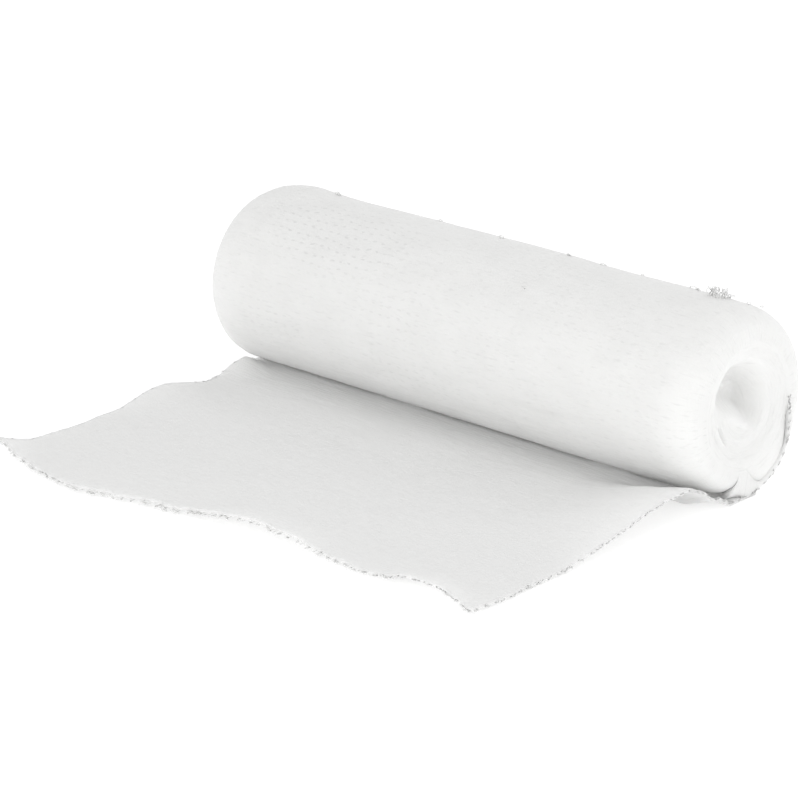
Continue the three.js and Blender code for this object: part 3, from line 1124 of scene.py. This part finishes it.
class BANDAGE_OT_loose_threads(bpy.types.Operator):
    """Make the tuft of loose threads and the small knots on the roll"""

    bl_idname = "bandage.loose_threads"
    bl_label = "Loose threads"

    def execute(self, context):
        sizes = context.scene.bandage_sizes
        strip = Strip(sizes)
        random = np.random.RandomState(12)

        def on_roll(x, degrees, out=0.0):
            angle = np.array([math.radians(degrees)])
            turn = (angle - strip.start) / math.tau
            point = strip.barrel(np.array([float(x)]), angle, turn)[0]
            return point + np.array([0, math.sin(angle[0]), -math.cos(angle[0])]) * out

        places = []
        for x, degrees in zip(*KNOTS.values()):
            away = on_roll(x, degrees, 1) - on_roll(x, degrees)
            places.append((on_roll(x, degrees, 0.08), away, (1, random.uniform(-0.5, 0.5), 0)))
        loops_piece("yarn_knots", places, sizes, seed=13)
        lines = []
        for thread in range(TUFT["threads"]):
            share = ((thread + random.rand()) / TUFT["threads"]) ** TUFT["crowded"]
            x = lerp(TUFT["left"], TUFT["right"], share)
            foot = random.uniform(*TUFT["feet"])
            height = lerp(TUFT["tall"], TUFT["short"], share) * random.uniform(*TUFT["grown"])
            curl = TUFT["curl"] * random.uniform(*TUFT["curls"])
            begin, way = random.uniform(*TUFT["begin"]), random.choice([-1, 1])
            lean, aside = random.uniform(*TUFT["lean"]), random.uniform(*TUFT["round"])
            # up from under the cloth, and then round the curl near the thread's top
            line = [on_roll(x, foot, -0.3), on_roll(x + 0.2 * lean, foot, 0.3 * height)]
            for step in range(TUFT["curl_points"]):
                turned = begin + way * step * TUFT["curl_step"]
                out = max(height * 0.8 + curl * math.sin(turned), 0.05)
                right = x + lean * (0.4 + 0.12 * step) + curl * math.cos(turned)
                line.append(on_roll(right, foot + aside * step / 3, out))
            lines.append(line)
        threads_piece("thread_tuft", lines, sizes.fibre * 1.6)
        return {"FINISHED"}


# The stage

# The camera, fitted to the photograph's outline: angles in degrees, distance and clipping in
# metres, lens and sensor in mm, and the place that it looks at
CAMERA = dict(
    azimuth=42.59, elevation=19.685, distance=0.634, lens=181.76, sensor=36, clip=(0.02, 20)
)
CAMERA_TARGET = Vector((-0.00304, -0.01933, 0.00876))
FLOOR_SIZE = 6.0
# Soft area lights aimed at the origin, with distance and size in metres and power in watts, and
# the strength of the even light all round and of the table's own
LIGHTS = {
    "key": dict(azimuth=92, elevation=32, distance=0.42, size=0.3, power=0.06),
    "back light": dict(azimuth=160, elevation=40, distance=0.4, size=0.36, power=0.26),
    "low card": dict(azimuth=16, elevation=6, distance=0.26, size=0.2, power=0.2),
}
ROOM_LIGHT = 0.79
TABLE_LIGHT = 0.38


def direction(azimuth, elevation):
    """From the part towards an azimuth, where 0 is in front, and an elevation."""
    a, e = math.radians(azimuth), math.radians(elevation)
    return Vector((math.sin(a) * math.cos(e), -math.cos(a) * math.cos(e), math.sin(e)))


def aimed(data, setting, target):
    """A camera or light that looks at a target, from its setting's direction and distance."""
    away = direction(setting["azimuth"], setting["elevation"])
    made = bpy.data.objects.new(data.name, data)
    made.location = target + away * setting["distance"]
    made.rotation_euler = (-away).to_track_quat("-Z", "Y").to_euler()
    bpy.context.scene.collection.objects.link(made)
    return made


class BANDAGE_OT_stage(bpy.types.Operator):
    """Make the camera, the pale floor and the soft studio light"""

    bl_idname = "bandage.stage"
    bl_label = "Stage"

    def execute(self, context):
        scene = context.scene
        data = bpy.data.cameras.new("camera")
        data.sensor_width = CAMERA["sensor"]
        data.lens = CAMERA["lens"]
        data.clip_start, data.clip_end = CAMERA["clip"]
        scene.camera = aimed(data, CAMERA, CAMERA_TARGET)

        mesh = flat_grid("floor", 1, 1, FLOOR_SIZE / 2)
        mesh.materials.append(material_of("white_light_table"))
        floor = bpy.data.objects.new("floor", mesh)
        scene.collection.objects.link(floor)

        for name, light in LIGHTS.items():
            data = bpy.data.lights.new(name, "AREA")
            data.size = light["size"]
            data.energy = light["power"]
            aimed(data, light, Vector()).visible_camera = False

        world = bpy.data.worlds.new("studio")
        world.use_nodes = True
        sky = world.node_tree.nodes["Background"]
        sky.inputs["Color"].default_value = (1, 1, 1, 1)
        sky.inputs["Strength"].default_value = ROOM_LIGHT
        scene.world = world
        scene.view_settings.view_transform = "Standard"
        scene.view_settings.look = "None"
        return {"FINISHED"}


PIECES = (
    BANDAGE_OT_stage,
    BANDAGE_OT_wound_turns,
    BANDAGE_OT_loose_end,
    BANDAGE_OT_edge_loops,
    BANDAGE_OT_thread_ends,
    BANDAGE_OT_loose_threads,
)


class BANDAGE_PT_panel(bpy.types.Panel):
    """Sizes, colours and pieces of the bandage"""

    bl_label = "Bandage"
    bl_idname = "BANDAGE_PT_panel"
    bl_space_type = "VIEW_3D"
    bl_region_type = "UI"
    bl_category = "Bandage"

    def draw(self, context):
        for settings in (context.scene.bandage_sizes, context.scene.bandage_colours):
            for name in settings.__annotations__:
                self.layout.prop(settings, name)
        for piece in PIECES:
            self.layout.operator(piece.bl_idname)


CLASSES = (BandageSizes, BandageColours, *PIECES, BANDAGE_PT_panel)


def register():
    for item in CLASSES:
        bpy.utils.register_class(item)
    bpy.types.Scene.bandage_sizes = bpy.props.PointerProperty(type=BandageSizes)
    bpy.types.Scene.bandage_colours = bpy.props.PointerProperty(type=BandageColours)


def unregister():
    del bpy.types.Scene.bandage_colours
    del bpy.types.Scene.bandage_sizes
    for item in reversed(CLASSES):
        bpy.utils.unregister_class(item)


def main():
    register()
    for piece in PIECES:
        group, name = piece.bl_idname.split(".")
        getattr(getattr(bpy.ops, group), name)()


if __name__ == "__main__":
    main()
